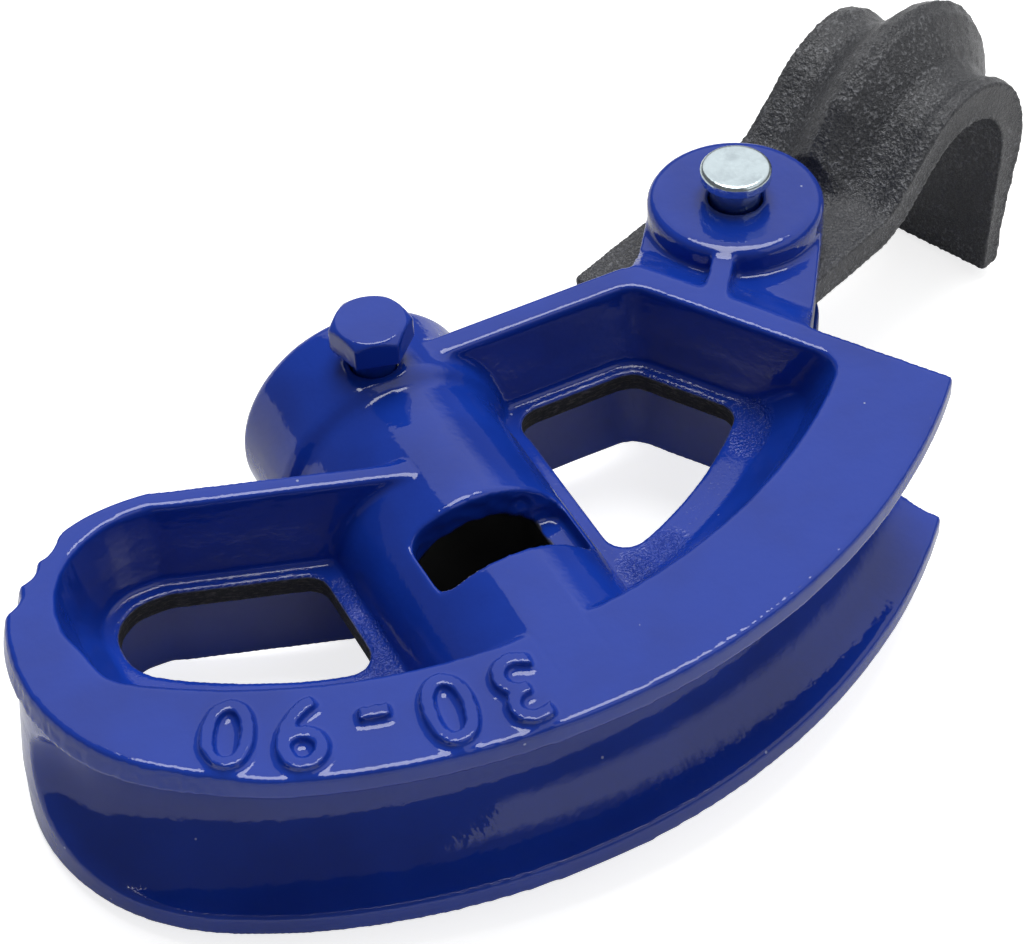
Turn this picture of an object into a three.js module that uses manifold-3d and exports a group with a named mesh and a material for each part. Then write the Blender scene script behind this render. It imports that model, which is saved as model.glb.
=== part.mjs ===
// Pipe bending shoe for 3/4 inch steel pipe, with its swinging pipe hook.
// Millimetres. +Z is up. The handle socket's axis runs along Y at x = 0 and opens towards +Y.
// The origin lies on the flat underside of the lower flange, below the socket's axis.

import * as THREE from 'three';
import { mergeVertices } from 'three/addons/utils/BufferGeometryUtils.js';
import Module from 'manifold-3d';

const wasm = await Module();
wasm.setup();

// Pipe that the tool bends
const pipeDiameter = 26.9;
const grooveClearance = 1.5;
const saddleClearance = 0.65;

// Bending shoe: groove, flanges and band
const shoeRadius = 122.5;
const lipThickness = 4.55;
const bandWidth = 19.2;
const bandMidShift = 0.25;
const centreOffset = 1.8;
const noseAngle = 45.6;
const endFaceTurn = 77.2;
const wallThickness = 5;
const heelWallThickness = 3.8;

// End face of the nose, and the back walls that start from it and from the socket
const endFaceLength = 62.65;
const heelWallReach = 52.5;
const heelTopRise = 1.07;
const heelTopLength = 17.9;

// Heel with its teeth
const heelRadius = 38.4;
const heelStartAngle = 30;
const heelTopRounding = 19;
const toothCount = 3;
const toothPitchAngle = 9.9;
const firstToothAngle = 126.4;
const firstToothInset = 3.6;
const toothRadiusGrowth = 1.25;
const toothUndercut = 2;

// Pockets and web
const webThickness = 4.3;
const heelFlangeWidth = 12.05;
const heelPocketRadius = 18;
const pocketCornerRadius = 5;
const pocketHeelCornerRadius = 8;
const bandSideLean = 12;
const heelSideLean = 8.7;
const pocketWallLean = 0.9;
const pocketFootRadius = 9;
const footCurveHeightShare = 0.38;
const footCurveLeanShare = 0.42;
const ledgeWidth = 3.6;
const barrelLedgeWidth = 3.2;
const heelLedgeWidth = 10.8;
const windowArcInset = 16.6;
const noseWindowArcInset = 18.4;
const windowCornerRadius = 4;
const windowShoulderRadius = 8;
const windowHeelCornerRadius = 9;

// Handle socket
const barrelRadius = 20;
const barrelStart = 6;
const boreRadius = 14;
const boreBottom = 24;
const collarRise = 1.9;
const collarLength = 19;
const collarFillet = 1.4;
const collarEdgeRadius = 2;
const mouthStand = 10.6;
const slotRear = 40.5;
const slotLength = 14;
const slotWidth = 28;
const slotShift = 2;
const slotCornerRadius = 3;
const slotDepthBelowBoreTop = 5.5;

// Clevis ears
const pivotBeyondNose = 35.8;
const bossRadius = 16.1;
const bossRise = 0.9;
const bossEdge = 1;
const earGap = 16;
const earDrop = 4.4;
const earSlopeLength = 8;
const earFootSpan = 35.6;
const ribWidth = 4.2;

// Pivot pin and its split pin
const pinRadius = 4.6;
const pinHeadRadius = 6.5;
const pinHeadThickness = 2.7;
const pinEdge = 0.5;
const pinRise = 4;
const earHoleClearance = 0.45;
const hookHoleClearance = 0.6;
const splitPinRadius = 1.3;
const splitPinReach = 7.5;
const splitPinProngLength = 6;
const splitPinSpread = 32;
const splitPinEyeRadius = 2.7;
const pinTailLength = 2.3;

// Pipe hook
const hookAngle = 22;
const hookWidth = 35.2;
const armThickness = 6.1;
const tailLength = 24.8;
const tailSwingClearance = 1;
const hubRadius = 13.5;
const saddleReach = 47.6;
const rampAngle = 38;
const rampBendRadius = 16;
const saddleWall = 7.2;
const legWall = 4.8;
const legLean = 6;
const legDrop = 9.5;
const ridgeHeight = 9.3;
const ridgeWidthShare = 0.6;
const ridgeStart = 18.6;
const ridgeEndAngle = 45;
const ridgeShift = 1.2;
const rimBead = 0.6;
const farFlankRise = 1.7;

// Clamp screw of the handle, set in from the socket's mouth
const screwRadius = 4;
const screwHoleClearance = 0.35;
const screwInset = 12.5;
const screwHeadFlats = 13;
const screwHeadHeight = 5.4;
const screwHeadChamferShare = 0.94;
const screwHeadEdge = 0.7;
const screwStand = 3.3;
const screwBite = 1;
const screwTurn = 14;

// Running gap between neighbours, overrun of the cutting bodies, and facet steps
const runningGap = 0.3;
const overrun = 2;
const arcStep = 3;
const cornerSteps = 7;
const bandSteps = 15;
const wallUseShare = 0.98;
const roundSides = 48;
const smallSides = 24;

// Sizes that follow from those above
const grooveRadius = pipeDiameter / 2 + grooveClearance;
const shoeHeight = 2 * (grooveRadius + lipThickness);
const midHeight = shoeHeight / 2;
const bandRadius = shoeRadius - bandWidth;
const bendCentre = new THREE.Vector2(-centreOffset, shoeRadius - bandWidth / 2 - bandMidShift);
const radians = THREE.MathUtils.degToRad;

function solidOf(geometry) {
  // A closed mesh with shared vertices, ready to be joined or cut
  const bare = geometry.clone();
  bare.deleteAttribute('normal');
  bare.deleteAttribute('uv');
  const merged = mergeVertices(bare, runningGap / 1000);
  const mesh = new wasm.Mesh({
    numProp: 3,
    vertProperties: new Float32Array(merged.attributes.position.array),
    triVerts: new Uint32Array(merged.index.array),
  });
  return new wasm.Manifold(mesh);
}

function geometryOf(solid) {
  const mesh = solid.getMesh();
  const geometry = new THREE.BufferGeometry();
  geometry.setAttribute('position', new THREE.BufferAttribute(new Float32Array(mesh.vertProperties), 3));
  geometry.setIndex(new THREE.BufferAttribute(new Uint32Array(mesh.triVerts), 1));
  return geometry;
}

function joined(...solids) {
  return solids.reduce((whole, solid) => whole.add(solid));
}

function cut(solid, ...tools) {
  return tools.reduce((rest, tool) => rest.subtract(tool), solid);
}

function polar(centre, radius, degrees) {
  // Degrees turn from -Y towards +X, as a pipe travels round the shoe
  const angle = radians(degrees);
  return new THREE.Vector2(centre.x + radius * Math.sin(angle), centre.y - radius * Math.cos(angle));
}

function arc(centre, radius, from, to, steps = Math.max(2, Math.ceil(Math.abs(to - from) / arcStep))) {
  const points = [];
  for (let i = 0; i <= steps; i += 1) {
    points.push(polar(centre, radius, from + ((to - from) * i) / steps));
  }
  return points;
}

function corner(point, radius) {
  return { point, radius };
}

function softOutline(stations) {
  // Turns a list of points and rounded corners into one closed outline
  const places = stations.map((station) => (station.point ? station : corner(station, 0)));
  const count = places.length;
  const corners = places.map((place, index) => {
    const before = places[(index + count - 1) % count].point;
    const after = places[(index + 1) % count].point;
    const towardsBefore = before.clone().sub(place.point);
    const towardsAfter = after.clone().sub(place.point);
    const wall = towardsAfter.length();
    towardsBefore.normalize();
    towardsAfter.normalize();
    const halfAngle = Math.acos(THREE.MathUtils.clamp(towardsBefore.dot(towardsAfter), -1, 1)) / 2;
    return { ...place, towardsBefore, towardsAfter, wall, halfAngle, setback: place.radius / Math.tan(halfAngle) };
  });
  const outline = [];
  corners.forEach((place, index) => {
    if (place.radius === 0) {
      outline.push(place.point);
      return;
    }
    // Two roundings on one wall share its length
    const { towardsBefore, towardsAfter, halfAngle } = place;
    const before = corners[(index + count - 1) % count];
    const after = corners[(index + 1) % count];
    const room = Math.min(
      1,
      (before.wall * wallUseShare) / (before.setback + place.setback),
      (place.wall * wallUseShare) / (place.setback + after.setback),
    );
    const setback = place.setback * room;
    const middle = towardsBefore.clone().add(towardsAfter).normalize();
    const centre = place.point.clone().addScaledVector(middle, setback / Math.cos(halfAngle));
    const start = place.point.clone().addScaledVector(towardsBefore, setback).sub(centre);
    const end = place.point.clone().addScaledVector(towardsAfter, setback).sub(centre);
    let turn = end.angle() - start.angle();
    if (turn > Math.PI) turn -= 2 * Math.PI;
    if (turn < -Math.PI) turn += 2 * Math.PI;
    for (let i = 0; i <= cornerSteps; i += 1) {
      outline.push(start.clone().rotateAround(new THREE.Vector2(), (turn * i) / cornerSteps).add(centre));
    }
  });
  return outline;
}

function prism(outline, low, high) {
  const geometry = new THREE.ExtrudeGeometry(new THREE.Shape(outline), {
    depth: high - low,
    bevelEnabled: false,
  });
  geometry.translate(0, 0, low);
  return solidOf(geometry);
}

function stacked(levels) {
  // Closed skin over outlines with equal counts of points, one above the other
  const count = levels[0].outline.length;
  const positions = [];
  levels.forEach(({ outline, height }) => outline.forEach((point) => positions.push(point.x, point.y, height)));
  const index = [];
  for (let s = 0; s < levels.length - 1; s += 1) {
    for (let i = 0; i < count; i += 1) {
      const a = s * count + i;
      const b = s * count + ((i + 1) % count);
      index.push(a, b, b + count, a, b + count, a + count);
    }
  }
  const top = (levels.length - 1) * count;
  const floor = THREE.ShapeUtils.triangulateShape(levels[0].outline, []);
  const lid = THREE.ShapeUtils.triangulateShape(levels[levels.length - 1].outline, []);
  floor.forEach(([a, b, c]) => index.push(a, c, b));
  lid.forEach(([a, b, c]) => index.push(top + a, top + b, top + c));
  return solidOf(indexed(positions, index));
}

function indexed(positions, index) {
  const geometry = new THREE.BufferGeometry();
  geometry.setAttribute('position', new THREE.Float32BufferAttribute(positions, 3));
  geometry.setIndex(index);
  return geometry;
}

function turned(profile, sides) {
  // Profile of radius and height, turned about +Z
  const points = profile.map(([radius, height]) => new THREE.Vector2(radius, height));
  const geometry = new THREE.LatheGeometry(points, sides);
  geometry.rotateX(Math.PI / 2);
  return solidOf(geometry);
}

function upright(centre, radius, low, high, sides = roundSides) {
  return turned([[0, low], [radius, low], [radius, high], [0, high]], sides).translate([centre.x, centre.y, 0]);
}

function mirrored(solid) {
  // The same feature on the lower half of the shoe
  return solid.translate([0, 0, -midHeight]).mirror([0, 0, 1]).translate([0, 0, midHeight]);
}

function lineMeet(pointA, alongA, pointB, alongB) {
  const cross = alongA.cross(alongB);
  const reach = pointB.clone().sub(pointA).cross(alongB) / cross;
  return pointA.clone().addScaledVector(alongA, reach);
}

function lineMeetsArc(point, along, centre, radius) {
  // The crossing that lies furthest along the line's direction
  const offset = point.clone().sub(centre);
  const half = offset.dot(along);
  const reach = -half + Math.sqrt(half * half - offset.lengthSq() + radius * radius);
  return point.clone().addScaledVector(along, reach);
}

function angleOf(centre, point) {
  return THREE.MathUtils.radToDeg(Math.atan2(point.x - centre.x, centre.y - point.y));
}

// Plan of the shoe. The nose's end face runs straight from the groove's end to the back wall.
// The pivot lies so that the hook's saddle comes in line with a pipe that leaves the groove's end.
const noseTip = polar(bendCentre, shoeRadius, noseAngle);
const endFaceAlong = new THREE.Vector2(1, 0).rotateAround(new THREE.Vector2(), radians(noseAngle + endFaceTurn));
const endFaceInward = new THREE.Vector2(endFaceAlong.y, -endFaceAlong.x).negate();
const backWallAlong = new THREE.Vector2(-1, 0);
const apex = noseTip.clone().addScaledVector(endFaceAlong, endFaceLength);
const pipeAlong = polar(new THREE.Vector2(), 1, noseAngle + 90);
const pivot = polar(bendCentre, shoeRadius - saddleReach, noseAngle).addScaledVector(pipeAlong, pivotBeyondNose);
const heelCentre = polar(bendCentre, shoeRadius - heelRadius, -heelStartAngle);
const firstToothRadius = heelRadius - firstToothInset;
const heelTopReach = heelPoint(firstToothRadius, firstToothAngle).y + heelTopRise;
const heelWallStart = new THREE.Vector2(0, heelWallReach);
const heelWallEnd = new THREE.Vector2(heelPoint(firstToothRadius, firstToothAngle).x + heelTopLength, heelTopReach);
const heelWallAlong = heelWallEnd.clone().sub(heelWallStart).normalize();
const heelPocketReach = heelRadius - heelCentre.x - heelFlangeWidth;

function heelPoint(radius, degrees) {
  const angle = radians(degrees);
  return new THREE.Vector2(heelCentre.x + radius * Math.cos(angle), heelCentre.y + radius * Math.sin(angle));
}

function toothTip(number) {
  return heelPoint(firstToothRadius + number * toothRadiusGrowth, firstToothAngle + number * toothPitchAngle);
}

function heelTeeth() {
  // Shallow scallops between the teeth, from the heel's top down its side, steep behind each tip
  const points = [];
  for (let i = 0; i < toothCount; i += 1) {
    const angle = firstToothAngle + i * toothPitchAngle;
    const last = i === toothCount - 1;
    const scallop = new THREE.QuadraticBezierCurve(
      toothTip(i),
      heelPoint(firstToothRadius + i * toothRadiusGrowth - toothUndercut, angle + toothPitchAngle / 2),
      last ? heelPoint(heelRadius, angle + toothPitchAngle) : toothTip(i + 1),
    );
    points.push(...scallop.getPoints(5).slice(0, last ? 6 : 5));
  }
  return points;
}

function shoeOutline() {
  const rightWallEnd = new THREE.Vector2(0, apex.y);
  const tip = toothTip(0);
  const sideTop = firstToothAngle + toothCount * toothPitchAngle - 90;
  const side = arc(heelCentre, heelRadius, -180 + sideTop, -heelStartAngle);
  return softOutline([
    ...arc(bendCentre, shoeRadius, -heelStartAngle, noseAngle),
    corner(apex, lipThickness),
    rightWallEnd,
    heelWallStart,
    corner(heelWallEnd, heelTopRounding),
    new THREE.Vector2(tip.x + toothUndercut, heelTopReach),
    ...heelTeeth(),
    ...side.slice(1, -1),
  ]);
}

// Pockets and windows lie between the barrel, the walls and the band, on both sides of the web
function offsetLine(point, along, inward, distance) {
  return { point: point.clone().addScaledVector(inward, distance), along };
}

const endFaceInside = offsetLine(noseTip, endFaceAlong, endFaceInward, wallThickness);
const backWallInside = offsetLine(apex, backWallAlong, new THREE.Vector2(0, -1), wallThickness);
const heelWallInward = new THREE.Vector2(heelWallAlong.y, -heelWallAlong.x).negate();
const heelWallInside = offsetLine(heelWallStart, heelWallAlong, heelWallInward, heelWallThickness);

function bandSide(before, from, fromRadius, to, toRadius, after, arcRadius) {
  // The side of a hollow that follows the band, from one corner to the other with room for their rounding
  const angles = [angleOf(bendCentre, from), angleOf(bendCentre, to)];
  const room = (here, angle, along, neighbour, radius) => {
    const tangent = polar(new THREE.Vector2(), 1, angle + 90 * along);
    const wall = neighbour.clone().sub(here).normalize();
    const half = Math.acos(THREE.MathUtils.clamp(tangent.dot(wall), -1, 1)) / 2;
    return THREE.MathUtils.radToDeg(radius / Math.tan(half) / arcRadius) * along;
  };
  const first = angles[0] + room(from, angles[0], 1, before, fromRadius);
  const last = angles[1] + room(to, angles[1], -1, after, toRadius);
  return [
    fromRadius > 0 ? corner(from, fromRadius) : from,
    ...arc(bendCentre, arcRadius, first, last, bandSteps).slice(1, -1),
    toRadius > 0 ? corner(to, toRadius) : to,
  ];
}

function noseHollow(inset, arcRadius, axisX, cornerRadius) {
  const down = new THREE.Vector2(0, -1);
  const end = offsetLine(endFaceInside.point, endFaceAlong, endFaceInward, inset);
  const back = offsetLine(backWallInside.point, backWallAlong, down, inset);
  const backCorner = lineMeet(end.point, end.along, back.point, back.along);
  const axisTop = lineMeet(new THREE.Vector2(axisX, 0), down, back.point, back.along);
  const axisLow = lineMeetsArc(new THREE.Vector2(axisX, bendCentre.y), down, bendCentre, arcRadius);
  const noseLow = lineMeetsArc(backCorner, endFaceAlong.clone().negate(), bendCentre, arcRadius);
  const axisRadius = axisX === 0 ? 0 : cornerRadius;
  return softOutline([
    ...bandSide(axisTop, axisLow, axisRadius, noseLow, cornerRadius, backCorner, arcRadius),
    corner(backCorner, cornerRadius),
    axisX === 0 ? axisTop : corner(axisTop, cornerRadius),
  ]);
}

function heelHollow(inset, arcRadius, axisX, sideX, shoulderRadius, lowRadius, cornerRadius) {
  const down = new THREE.Vector2(0, -1);
  const wall = offsetLine(heelWallInside.point, heelWallAlong, heelWallInward, inset);
  const topY = heelTopReach - heelWallThickness - inset;
  const axisTop = lineMeet(new THREE.Vector2(axisX, 0), down, wall.point, wall.along);
  const shoulder = lineMeet(wall.point, wall.along, new THREE.Vector2(0, topY), backWallAlong);
  const heelTop = new THREE.Vector2(sideX, topY);
  const heelLow = lineMeetsArc(new THREE.Vector2(sideX, bendCentre.y), down, bendCentre, arcRadius);
  const axisLow = lineMeetsArc(new THREE.Vector2(axisX, bendCentre.y), down, bendCentre, arcRadius);
  const axisRadius = axisX === 0 ? 0 : cornerRadius;
  return softOutline([
    axisX === 0 ? axisTop : corner(axisTop, cornerRadius),
    shoulder,
    corner(heelTop, shoulderRadius),
    ...bandSide(heelTop, heelLow, lowRadius, axisLow, axisRadius, axisTop, arcRadius),
  ]);
}

function pocketTool(rim, foot) {
  // The wall leans in from the rim and curves over into the web
  const webHigh = midHeight + webThickness / 2;
  const depth = shoeHeight - webHigh;
  const middle = rim.map((point, i) => point.clone().lerp(foot[i], footCurveLeanShare));
  return stacked([
    { outline: foot, height: webHigh },
    { outline: middle, height: webHigh + depth * footCurveHeightShare },
    { outline: rim, height: shoeHeight },
    { outline: rim, height: shoeHeight + overrun },
  ]);
}

function pocketsAndWindows() {
  const windowArcRadius = bandRadius - windowArcInset;
  const noseWindowRadius = bandRadius - noseWindowArcInset;
  const footArcRadius = bandRadius - bandSideLean;
  const nosePocket = pocketTool(
    noseHollow(0, bandRadius, 0, pocketCornerRadius),
    noseHollow(pocketWallLean, footArcRadius, 0, pocketFootRadius),
  );
  const heelPocket = pocketTool(
    heelHollow(0, bandRadius, 0, -heelPocketReach, heelPocketRadius, pocketHeelCornerRadius, 0),
    heelHollow(
      pocketWallLean, footArcRadius, 0, heelSideLean - heelPocketReach, pocketFootRadius, pocketFootRadius, 0,
    ),
  );
  const noseWindow = noseHollow(ledgeWidth, noseWindowRadius, barrelRadius + barrelLedgeWidth, windowCornerRadius);
  const heelWindow = heelHollow(
    ledgeWidth,
    windowArcRadius,
    -barrelRadius - barrelLedgeWidth,
    heelLedgeWidth - heelPocketReach,
    windowShoulderRadius,
    windowHeelCornerRadius,
    windowCornerRadius,
  );
  const windows = [noseWindow, heelWindow].map((outline) => prism(outline, -overrun, shoeHeight + overrun));
  return [nosePocket, heelPocket, mirrored(nosePocket), mirrored(heelPocket), ...windows];
}

// The socket's mouth stands out behind the back wall
const mouthReach = apex.y + mouthStand;
const screwPlace = mouthReach - screwInset;
const collarRadius = barrelRadius + collarRise;

function alongSocket(profile, sides) {
  // A profile of radius and reach, turned about the socket's axis
  const points = profile.map(([radius, reach]) => new THREE.Vector2(radius, reach));
  return solidOf(new THREE.LatheGeometry(points, sides)).translate([0, 0, midHeight]);
}

function socketBody() {
  const collarStart = mouthReach - collarLength;
  const profile = [[0, barrelStart], [barrelRadius, barrelStart]];
  const filletSteps = 5;
  for (let i = 0; i <= filletSteps; i += 1) {
    // Hollow curve where the collar grows out of the barrel
    const angle = (Math.PI / 2) * (i / filletSteps);
    profile.push([
      barrelRadius + (collarRadius - barrelRadius) * (1 - Math.cos(angle)),
      collarStart - collarFillet * (1 - Math.sin(angle)),
    ]);
  }
  for (let i = 0; i <= filletSteps; i += 1) {
    const angle = (Math.PI / 2) * (i / filletSteps);
    profile.push([
      collarRadius - collarEdgeRadius * (1 - Math.cos(angle)),
      mouthReach - collarEdgeRadius * (1 - Math.sin(angle)),
    ]);
  }
  profile.push([0, mouthReach]);
  return alongSocket(profile, roundSides + smallSides);
}

function socketCuts() {
  const bore = alongSocket(
    [[0, boreBottom], [boreRadius, boreBottom], [boreRadius, mouthReach + overrun], [0, mouthReach + overrun]],
    roundSides,
  );
  const slotFloor = midHeight + boreRadius - slotDepthBelowBoreTop;
  const slotSides = [slotShift + slotWidth / 2, slotShift - slotWidth / 2];
  const slotFront = slotRear - slotLength;
  const slot = prism(
    softOutline([
      corner(new THREE.Vector2(slotSides[0], slotFront), slotCornerRadius),
      corner(new THREE.Vector2(slotSides[0], slotRear), slotCornerRadius),
      corner(new THREE.Vector2(slotSides[1], slotRear), slotCornerRadius),
      corner(new THREE.Vector2(slotSides[1], slotFront), slotCornerRadius),
    ]),
    slotFloor,
    shoeHeight + overrun,
  );
  const screwHole = upright(
    new THREE.Vector2(0, screwPlace),
    screwRadius + screwHoleClearance,
    midHeight,
    midHeight + collarRadius + overrun,
    smallSides,
  );
  return [bore, slot, screwHole];
}

function tangentPoint(from, centre, radius, side) {
  // Where a line from a point just touches a circle, on its right (+1) or left (-1)
  const away = from.clone().sub(centre);
  const spread = Math.acos(radius / away.length());
  return away.normalize().rotateAround(new THREE.Vector2(), side * spread).multiplyScalar(radius).add(centre);
}

function upperEar() {
  // Plate between the end face and the boss, thinned towards the boss, with a short rib
  const gapTop = midHeight + earGap / 2;
  const footNose = apex.clone().addScaledVector(endFaceAlong, -earFootSpan);
  const inner = endFaceInward.clone().multiplyScalar(wallThickness / 2);
  const noseTouch = tangentPoint(footNose, pivot, bossRadius, 1);
  const backTouch = tangentPoint(apex, pivot, bossRadius, -1);
  const from = angleOf(pivot, noseTouch);
  const to = angleOf(pivot, backTouch);
  const sweep = arc(pivot, bossRadius, from, to < from ? to + 360 : to);
  const plate = prism(
    [footNose.clone().add(inner), footNose, ...sweep, apex, apex.clone().add(inner)],
    gapTop,
    shoeHeight,
  );
  const outward = endFaceInward.clone().negate();
  const slopeFoot = shoeHeight - earDrop;
  const reach = 2 * bossRadius + earSlopeLength + earFootSpan;
  const slopeProfile = [
    new THREE.Vector2(0, shoeHeight),
    new THREE.Vector2(earSlopeLength, slopeFoot),
    new THREE.Vector2(reach, slopeFoot),
    new THREE.Vector2(reach, shoeHeight + overrun),
    new THREE.Vector2(0, shoeHeight + overrun),
  ];
  const slopeGeometry = new THREE.ExtrudeGeometry(new THREE.Shape(slopeProfile), {
    depth: 2 * reach,
    bevelEnabled: false,
  });
  slopeGeometry.translate(0, 0, -reach);
  const basis = new THREE.Matrix4().makeBasis(
    new THREE.Vector3(outward.x, outward.y, 0),
    new THREE.Vector3(0, 0, 1),
    new THREE.Vector3(outward.y, -outward.x, 0),
  );
  basis.setPosition(apex.x, apex.y, 0);
  slopeGeometry.applyMatrix4(basis);
  const footMiddle = footNose.clone().add(apex).multiplyScalar(0.5);
  const ribAlong = pivot.clone().sub(footMiddle).normalize();
  const ribAside = new THREE.Vector2(-ribAlong.y, ribAlong.x).multiplyScalar(ribWidth / 2);
  const ribStart = footMiddle.clone().add(inner);
  const rib = prism(
    [ribStart.clone().sub(ribAside), pivot.clone().sub(ribAside), pivot.clone().add(ribAside), ribStart.clone().add(ribAside)],
    gapTop,
    shoeHeight,
  );
  const bossTop = shoeHeight + bossRise;
  const boss = turned(
    [[0, gapTop], [bossRadius, gapTop], [bossRadius, bossTop - bossEdge], [bossRadius - bossEdge, bossTop], [0, bossTop]],
    roundSides,
  ).translate([pivot.x, pivot.y, 0]);
  return joined(cut(plate, solidOf(slopeGeometry)), rib, boss);
}

function shoeCasting() {
  const groove = new THREE.TorusGeometry(shoeRadius, grooveRadius, roundSides, 360 / arcStep);
  groove.translate(bendCentre.x, bendCentre.y, midHeight);
  const plate = cut(prism(shoeOutline(), 0, shoeHeight), ...pocketsAndWindows());
  const body = cut(joined(plate, socketBody()), solidOf(groove));
  const ear = upperEar();
  const pinHole = upright(
    pivot,
    pinRadius + earHoleClearance,
    -bossRise - overrun,
    shoeHeight + bossRise + overrun,
    smallSides,
  );
  const whole = joined(body, ear, mirrored(ear));
  return cut(whole, ...socketCuts(), pinHole);
}

// The hook's own frame has its arm along +X from the pivot and its far rim at +Y
const armTop = midHeight + earGap / 2 - runningGap;
const armBottom = armTop - armThickness;
const saddleRadius = pipeDiameter / 2 + saddleClearance;
const ridgeRadius = saddleRadius + saddleWall + ridgeHeight;

function ridgeRise(x, z, degrees, wall) {
  // How far the ridge's crest, a circle about the saddle, lies outside the strip
  const out = new THREE.Vector2(Math.cos(radians(degrees)), Math.sin(radians(degrees)));
  const from = new THREE.Vector2(x - saddleReach - ridgeShift, z - midHeight);
  const half = from.dot(out);
  const left = half * half - from.lengthSq() + ridgeRadius * ridgeRadius;
  const rise = left > 0 ? Math.sqrt(left) - half - wall : 0;
  return Math.max(0, Math.min(rise, (x - ridgeStart) * Math.tan(radians(ridgeEndAngle))));
}

function hookPath() {
  // Underside of the strip from its tail over the saddle to the leg's foot,
  // with the outward direction, the wall, the ridge's rise, and the shares of the rims' bead and the far flank
  const ramp = radians(rampAngle);
  const rampEnd = new THREE.Vector2(
    saddleReach - saddleRadius * Math.sin(ramp),
    midHeight + saddleRadius * Math.cos(ramp),
  );
  const bendStart = rampEnd.x
    - (rampEnd.y - armBottom) / Math.tan(ramp)
    - rampBendRadius * Math.tan(ramp / 2);
  const stations = [];
  const place = (x, z, degrees, wall, rise, bead, flank = 0) => {
    const angle = radians(degrees);
    stations.push({ x, z, outX: Math.cos(angle), outZ: Math.sin(angle), wall, rise, bead, flank });
  };
  place(-tailLength - overrun, armBottom, 90, armThickness, 0, 0);
  place(0, armBottom, 90, armThickness, 0, 0);
  const endSteps = 3;
  for (let i = 0; i < endSteps; i += 1) {
    const x = THREE.MathUtils.lerp(ridgeStart, bendStart, i / endSteps);
    place(x, armBottom, 90, armThickness, ridgeRise(x, armBottom, 90, armThickness), 0);
  }
  const bendSteps = 4;
  for (let i = 0; i <= bendSteps; i += 1) {
    const turn = (rampAngle * i) / bendSteps;
    const x = bendStart + rampBendRadius * Math.sin(radians(turn));
    const z = armBottom + rampBendRadius * (1 - Math.cos(radians(turn)));
    place(x, z, 90 + turn, armThickness, ridgeRise(x, z, 90 + turn, armThickness), i / bendSteps);
  }
  const saddleSteps = 14;
  for (let i = 0; i <= saddleSteps; i += 1) {
    const share = i / saddleSteps;
    const degrees = 90 + rampAngle - (90 + rampAngle + legLean) * share;
    const x = saddleReach + saddleRadius * Math.cos(radians(degrees));
    const z = midHeight + saddleRadius * Math.sin(radians(degrees));
    const wall = THREE.MathUtils.lerp(armThickness, saddleWall, Math.sin(Math.PI * Math.min(share, 0.5)));
    place(x, z, degrees, wall, ridgeRise(x, z, degrees, wall), 1, Math.sin(Math.PI * share) ** 2);
  }
  const legTop = stations[stations.length - 1];
  const legLength = (legTop.z + legDrop) / Math.cos(radians(legLean));
  const legSteps = 4;
  for (let i = 1; i <= legSteps; i += 1) {
    const share = i / legSteps;
    place(
      legTop.x - legLength * share * Math.sin(radians(legLean)),
      legTop.z - legLength * share * Math.cos(radians(legLean)),
      -legLean,
      THREE.MathUtils.lerp(saddleWall, legWall, Math.min(1, 1.5 * share)),
      legTop.rise * (1 - share),
      1 - share,
    );
  }
  return stations;
}

function ridgeShare(share) {
  // Section across the strip, from -1 at one rim to +1 at the other: a round ridge in the middle
  const reach = Math.abs(share) / ridgeWidthShare;
  return reach < 1 ? (1 + Math.cos(Math.PI * reach)) / 2 : 0;
}

function flankShare(share) {
  // The far half of the strip is cast thicker between the ridge and the far rim
  const reach = THREE.MathUtils.clamp(share / ridgeWidthShare, 0, 1);
  return reach * reach * (3 - 2 * reach);
}

function rimShare(share) {
  // Low bead along each rim, with its crest just inside the edge
  const crestShare = 0.88;
  const reach = Math.abs(Math.abs(share) - crestShare) / (1 - crestShare);
  return reach < 1 ? 1 - reach * reach : 0;
}

function loft(sections) {
  // Skin over equal rings of points, closed by a fan at each end
  const ring = sections[0].length;
  const positions = [];
  sections.forEach((section) => section.forEach((point) => positions.push(point.x, point.y, point.z)));
  const index = [];
  for (let s = 0; s < sections.length - 1; s += 1) {
    for (let i = 0; i < ring; i += 1) {
      const a = s * ring + i;
      const b = s * ring + ((i + 1) % ring);
      index.push(a, b + ring, b, a, a + ring, b + ring);
    }
  }
  const half = ring / 2;
  const last = (sections.length - 1) * ring;
  for (let i = 0; i < half - 1; i += 1) {
    // Each end is a band between the underside's points and the outer points above them
    const mate = ring - 1 - i;
    index.push(i, mate - 1, mate, i, i + 1, mate - 1);
    index.push(last + i, last + mate, last + mate - 1, last + i, last + mate - 1, last + i + 1);
  }
  return solidOf(indexed(positions, index));
}

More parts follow.
